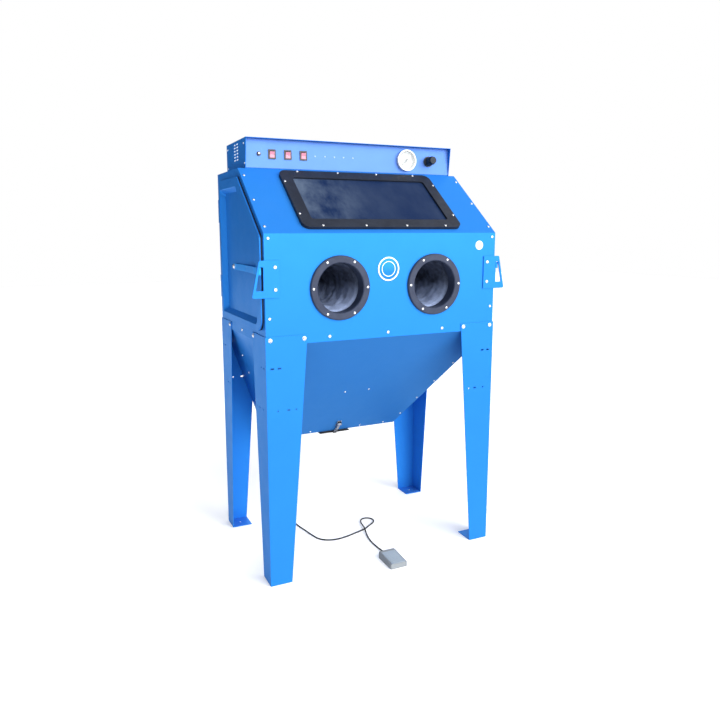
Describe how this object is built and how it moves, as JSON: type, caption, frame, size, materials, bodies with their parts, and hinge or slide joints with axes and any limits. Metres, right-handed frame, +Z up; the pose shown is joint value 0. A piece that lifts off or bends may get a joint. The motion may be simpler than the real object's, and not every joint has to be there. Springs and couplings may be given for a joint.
{
  "type": "sandblast cabinet",
  "caption": "Floor-standing blast cabinet with sloped window, glove ports, hinged side doors, hopper with drain, console and foot switch on a cord.",
  "frame": {"origin": "on the floor, in the middle of the square set out by the legs' anchor holes", "axes": "+X to the right along the front, +Y from the front to the back, +Z up"},
  "size_m": [1.0288, 0.74, 1.6081],
  "materials": {
    "blue_paint": "glossy powder coat",
    "fascia_paint": "glossy powder coat, lighter",
    "zinc": "zinc plated",
    "grate_steel": "dull, dusty",
    "black_rubber": "matt",
    "glove_rubber": "matt, dusty",
    "safety_glass": "slightly dusty sheet glass",
    "black_plastic": "satin",
    "rocker_red": "translucent, lit",
    "gauge_white": "satin",
    "gauge_clear": "clear",
    "lamp_white": "satin",
    "lamp_glass": "frosted",
    "brass": "bright",
    "pedal_grey": "fine grain",
    "cord_black": "satin"
  },
  "bodies": {
    "cabinet": {"front_panel": "blue_paint", "side_frame_left": "blue_paint", "side_frame_right": "blue_paint", "top_panel": "blue_paint", "rear_panel": "blue_paint", "hopper_front": "blue_paint", "hopper_rear": "blue_paint", "hopper_left": "blue_paint", "hopper_right": "blue_paint", "hopper_bottom": "blue_paint", "leg_front_left": "blue_paint", "leg_front_right": "blue_paint", "leg_rear_left": "blue_paint", "leg_rear_right": "blue_paint", "leg_bolts": "zinc", "panel_screws": "zinc", "window_frame": "black_rubber", "window_glass": "safety_glass", "trim_screws": "zinc", "port_rings": "black_plastic", "gloves": "glove_rubber", "glove_clamps": "zinc", "keepers": "blue_paint", "work_grate": "grate_steel", "grate_rails": "blue_paint", "lamp_fitting": "lamp_white", "lamp_tube": "lamp_glass", "console_shell": "blue_paint", "console_fascia": "fascia_paint", "switch_bezels": "black_plastic", "fuse_holder": "black_plastic", "gauge_case": "lamp_white", "gauge_dial": "gauge_white", "gauge_lens": "gauge_clear", "regulator_body": "black_plastic", "exhaust_spigot": "zinc", "air_inlet": "brass", "mains_inlet": "black_plastic", "cord_gland": "black_plastic", "door_hinges": "blue_paint", "drain_fittings": "zinc", "pedal_base": "pedal_grey", "pedal_cord": "cord_black", "pedal_spring": "zinc"},
    "door_left": {"door_left": "blue_paint", "gasket_left": "black_rubber", "pivot_left": "zinc"},
    "door_right": {"door_right": "blue_paint", "gasket_right": "black_rubber", "pivot_right": "zinc"},
    "lever_left": {"handle_left": "blue_paint"},
    "lever_right": {"handle_right": "blue_paint"},
    "rocker_1": {"rocker_1": "rocker_red"},
    "rocker_2": {"rocker_2": "rocker_red"},
    "rocker_3": {"rocker_3": "rocker_red"},
    "needle": {"gauge_needle": "black_plastic"},
    "knob": {"regulator_knob": "black_plastic"},
    "drain_door": {"drain_door": "black_plastic"},
    "drain_latch": {"drain_latch": "zinc"},
    "treadle": {"pedal_treadle": "pedal_grey"}
  },
  "joints": [
    {"name": "door_left_hinge", "type": "hinge", "parent": "cabinet", "child": "door_left", "pos_m": [-0.477, 0.258, 1.2], "axis": [0, 0, -1], "range_deg": [0, 110]},
    {"name": "door_right_hinge", "type": "hinge", "parent": "cabinet", "child": "door_right", "pos_m": [0.477, 0.258, 1.2], "axis": [0, 0, 1], "range_deg": [0, 110]},
    {"name": "lever_left_pivot", "type": "hinge", "parent": "door_left", "child": "lever_left", "pos_m": [-0.465, 0.095, 1.135], "axis": [1, 0, 0], "range_deg": [0, 12]},
    {"name": "lever_right_pivot", "type": "hinge", "parent": "door_right", "child": "lever_right", "pos_m": [0.465, 0.095, 1.135], "axis": [1, 0, 0], "range_deg": [0, 12]},
    {"name": "rocker_1_tilt", "type": "hinge", "parent": "cabinet", "child": "rocker_1", "pos_m": [-0.3365, 0.00068, 1.55167], "axis": [1, 0, 0], "range_deg": [-18, 0]},
    {"name": "rocker_2_tilt", "type": "hinge", "parent": "cabinet", "child": "rocker_2", "pos_m": [-0.274, 0.00068, 1.55167], "axis": [1, 0, 0], "range_deg": [-18, 0]},
    {"name": "rocker_3_tilt", "type": "hinge", "parent": "cabinet", "child": "rocker_3", "pos_m": [-0.2115, 0.00068, 1.55167], "axis": [1, 0, 0], "range_deg": [-18, 0]},
    {"name": "needle_turn", "type": "hinge", "parent": "cabinet", "child": "needle", "pos_m": [0.236, -0.00831, 1.5522], "axis": [0, 0.9983, -0.059], "range_deg": [0, 270], "stiffness_Nm_per_rad": 0.0008, "springref_deg": -17.19},
    {"name": "knob_turn", "type": "hinge", "parent": "cabinet", "child": "knob", "pos_m": [0.342, -0.03027, 1.5535], "axis": [0, -0.9983, 0.059], "range_deg": [-1080, 0]},
    {"name": "drain_hinge", "type": "hinge", "parent": "cabinet", "child": "drain_door", "pos_m": [0, 0.297, 0.379], "axis": [1, 0, 0], "range_deg": [0, 95]},
    {"name": "drain_latch_pivot", "type": "hinge", "parent": "cabinet", "child": "drain_latch", "pos_m": [0, 0.14632, 0.42651], "axis": [-1, 0, 0], "range_deg": [0, 110]},
    {"name": "treadle_tilt", "type": "hinge", "parent": "cabinet", "child": "treadle", "pos_m": [0.015, -0.281, 0.013], "axis": [1, 0, 0], "range_deg": [0, 3], "stiffness_Nm_per_rad": 10, "springref_deg": -5.73, "deforming": ["pedal_spring"]}
  ]
}
